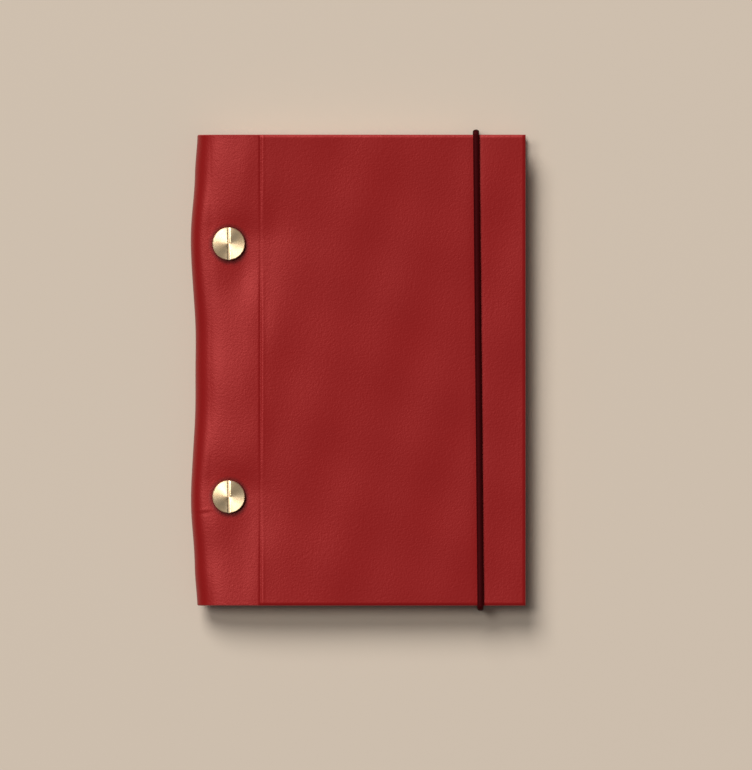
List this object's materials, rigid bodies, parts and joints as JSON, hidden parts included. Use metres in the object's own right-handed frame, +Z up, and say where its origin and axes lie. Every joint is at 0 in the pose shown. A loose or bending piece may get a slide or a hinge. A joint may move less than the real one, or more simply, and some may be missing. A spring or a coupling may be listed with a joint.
{
  "type": "screw-bound notebook",
  "caption": "Small leather notebook: one hide wrapped round loose sheets, held at the spine by slotted brass binding screws and closed by an elastic loop.",
  "frame": {"origin": "under the middle of the shut notebook's outline, on the surface that it lies on", "axes": "+Z up out of the front cover, +Y to the head of the covers, +X to the fore edge, away from the spine"},
  "size_m": [0.106, 0.1524, 0.014],
  "materials": {
    "leather": "smooth dyed leather with a fine grain",
    "paper": "uncoated writing paper",
    "brass": "turned and polished",
    "elastic": "braided cover over a rubber core"
  },
  "bodies": {
    "binding": {"spine_wrap": "leather", "leaf_margin_1": "paper", "leaf_margin_2": "paper", "leaf_margin_3": "paper", "leaf_margin_4": "paper", "leaf_margin_5": "paper", "leaf_margin_6": "paper", "leaf_margin_7": "paper", "leaf_margin_8": "paper", "barrel_upper": "brass", "barrel_lower": "brass"},
    "front_cover": {"front_cover": "leather"},
    "back_cover": {"back_cover": "leather"},
    "leaves_1": {"leaves_1": "paper"},
    "leaves_2": {"leaves_2": "paper"},
    "leaves_3": {"leaves_3": "paper"},
    "leaves_4": {"leaves_4": "paper"},
    "leaves_5": {"leaves_5": "paper"},
    "leaves_6": {"leaves_6": "paper"},
    "leaves_7": {"leaves_7": "paper"},
    "leaves_8": {"leaves_8": "paper"},
    "screw_upper": {"screw_upper": "brass"},
    "screw_lower": {"screw_lower": "brass"},
    "elastic": {"elastic_loop": "elastic"}
  },
  "joints": [
    {"name": "front_cover_fold", "type": "hinge", "parent": "binding", "child": "front_cover", "pos_m": [-0.0312, 0, 0.0129], "axis": [0, -1, 0], "range_deg": [0, 150]},
    {"name": "leaves_1_turn", "type": "hinge", "parent": "binding", "child": "leaves_1", "pos_m": [-0.0312, 0, 0.0129], "axis": [0, -1, 0], "range_deg": [0, 147]},
    {"name": "leaves_2_turn", "type": "hinge", "parent": "binding", "child": "leaves_2", "pos_m": [-0.0312, 0, 0.0129], "axis": [0, -1, 0], "range_deg": [0, 144]},
    {"name": "leaves_3_turn", "type": "hinge", "parent": "binding", "child": "leaves_3", "pos_m": [-0.0312, 0, 0.0129], "axis": [0, -1, 0], "range_deg": [0, 141]},
    {"name": "leaves_4_turn", "type": "hinge", "parent": "binding", "child": "leaves_4", "pos_m": [-0.0312, 0, 0.0129], "axis": [0, -1, 0], "range_deg": [0, 138]},
    {"name": "leaves_5_turn", "type": "hinge", "parent": "binding", "child": "leaves_5", "pos_m": [-0.0312, 0, 0.0129], "axis": [0, -1, 0], "range_deg": [0, 0.6]},
    {"name": "leaves_6_turn", "type": "hinge", "parent": "binding", "child": "leaves_6", "pos_m": [-0.0312, 0, 0.0129], "axis": [0, -1, 0], "range_deg": [0, 0.45]},
    {"name": "leaves_7_turn", "type": "hinge", "parent": "binding", "child": "leaves_7", "pos_m": [-0.0312, 0, 0.0129], "axis": [0, -1, 0], "range_deg": [0, 0.3]},
    {"name": "leaves_8_turn", "type": "hinge", "parent": "binding", "child": "leaves_8", "pos_m": [-0.0312, 0, 0.0129], "axis": [0, -1, 0], "range_deg": [0, 0.15]},
    {"name": "back_cover_fold", "type": "hinge", "parent": "binding", "child": "back_cover", "pos_m": [-0.0312, 0, 0.0011], "axis": [0, 1, 0], "range_deg": [0, 150]},
    {"name": "elastic_slip", "type": "slide", "parent": "binding", "child": "elastic", "axis": [1, 0, 0], "range_m": [0, 0.018], "deforming": ["elastic_loop"]},
    {"name": "screw_upper_turn", "type": "hinge", "parent": "binding", "child": "screw_upper", "pos_m": [-0.0409, 0.04, 0.0147], "axis": [0, 0, 1], "continuous": true},
    {"name": "screw_lower_turn", "type": "hinge", "parent": "binding", "child": "screw_lower", "pos_m": [-0.0409, -0.04, 0.0147], "axis": [0, 0, 1], "continuous": true}
  ],
  "couplings": [
    {"joint": "leaves_1_turn", "follows": "front_cover_fold", "ratio": 0.98},
    {"joint": "leaves_2_turn", "follows": "front_cover_fold", "ratio": 0.96},
    {"joint": "leaves_3_turn", "follows": "front_cover_fold", "ratio": 0.94},
    {"joint": "leaves_4_turn", "follows": "front_cover_fold", "ratio": 0.92},
    {"joint": "leaves_5_turn", "follows": "front_cover_fold", "ratio": 0.004},
    {"joint": "leaves_6_turn", "follows": "front_cover_fold", "ratio": 0.003},
    {"joint": "leaves_7_turn", "follows": "front_cover_fold", "ratio": 0.002},
    {"joint": "leaves_8_turn", "follows": "front_cover_fold", "ratio": 0.001}
  ]
}
